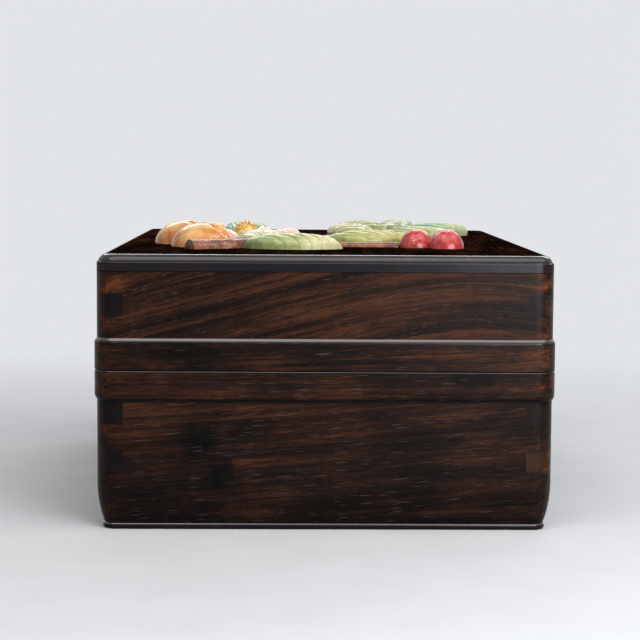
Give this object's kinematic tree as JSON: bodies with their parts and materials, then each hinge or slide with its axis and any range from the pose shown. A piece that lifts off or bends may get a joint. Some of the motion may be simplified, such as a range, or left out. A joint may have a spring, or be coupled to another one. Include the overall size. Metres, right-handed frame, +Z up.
{
  "type": "ink stick and stone box",
  "caption": "Dark rosewood box with a lift-off lid, finger-jointed corners, raised rims at the mouth and a spray of coloured stone inlay on top; keeps an ink stick and its stone.",
  "frame": {"origin": "middle of the underside, on the surface it stands on", "axes": "+Z up, front faces -Y, +X to the right seen from the front, long side along Y"},
  "size_m": [0.1212, 0.1754, 0.0793],
  "materials": {
    "board_rosewood": "dark rosewood, oiled and polished to a satin sheen, open pores",
    "rim_rosewood": "redder straight-grained rosewood strip, satin polish",
    "top_rosewood": "near-black rosewood, polished edge",
    "inner_rosewood": "rosewood, plain oiled",
    "green_stone": "polished mottled green stone",
    "pale_green_stone": "polished pale green stone",
    "yellow_green_stone": "polished yellow-green stone",
    "teal_stone": "polished blue-green stone",
    "amber_stone": "polished yellow-orange stone",
    "gold_stone": "polished golden stone",
    "coral_stone": "polished coral-red stone",
    "brown_stone": "polished reddish-brown stone",
    "shell": "pale pinkish shell, lightly polished"
  },
  "bodies": {
    "base": {"base_bottom_board": "inner_rosewood", "base_divider": "inner_rosewood", "base_front_board": "board_rosewood", "base_rim_front": "rim_rosewood", "base_lining_front": "inner_rosewood", "base_right_board": "board_rosewood", "base_rim_right": "rim_rosewood", "base_lining_right": "inner_rosewood", "base_back_board": "board_rosewood", "base_rim_back": "rim_rosewood", "base_lining_back": "inner_rosewood", "base_left_board": "board_rosewood", "base_rim_left": "rim_rosewood", "base_lining_left": "inner_rosewood"},
    "lid": {"lid_top_board": "top_rosewood", "lid_front_board": "board_rosewood", "lid_rim_front": "rim_rosewood", "lid_right_board": "board_rosewood", "lid_rim_right": "rim_rosewood", "lid_back_board": "board_rosewood", "lid_rim_back": "rim_rosewood", "lid_left_board": "board_rosewood", "lid_rim_left": "rim_rosewood", "inlay_berry_1": "coral_stone", "inlay_berry_2": "coral_stone", "inlay_berry_3": "coral_stone", "inlay_berry_twig": "brown_stone", "inlay_blossom_eye": "gold_stone", "inlay_blossom_twig": "brown_stone", "inlay_bud_1": "gold_stone", "inlay_bud_2": "gold_stone", "inlay_bud_3": "gold_stone", "inlay_bud_twig": "brown_stone", "inlay_fruit_1": "amber_stone", "inlay_fruit_2": "amber_stone", "inlay_leaf_1": "green_stone", "inlay_leaf_2": "yellow_green_stone", "inlay_leaf_3": "green_stone", "inlay_leaf_4": "teal_stone", "inlay_leaf_5": "pale_green_stone", "inlay_leaf_6": "pale_green_stone", "inlay_leaf_7": "yellow_green_stone", "inlay_leaf_bud": "teal_stone", "inlay_leaf_tip": "green_stone", "inlay_petal_1": "shell", "inlay_petal_2": "shell", "inlay_petal_3": "shell", "inlay_petal_4": "shell", "inlay_petal_5": "shell", "inlay_stem": "brown_stone"}
  },
  "joints": [
    {"name": "lid_lift", "type": "slide", "parent": "base", "child": "lid", "axis": [0, 0, 1], "range_m": [0, 0.06]}
  ]
}
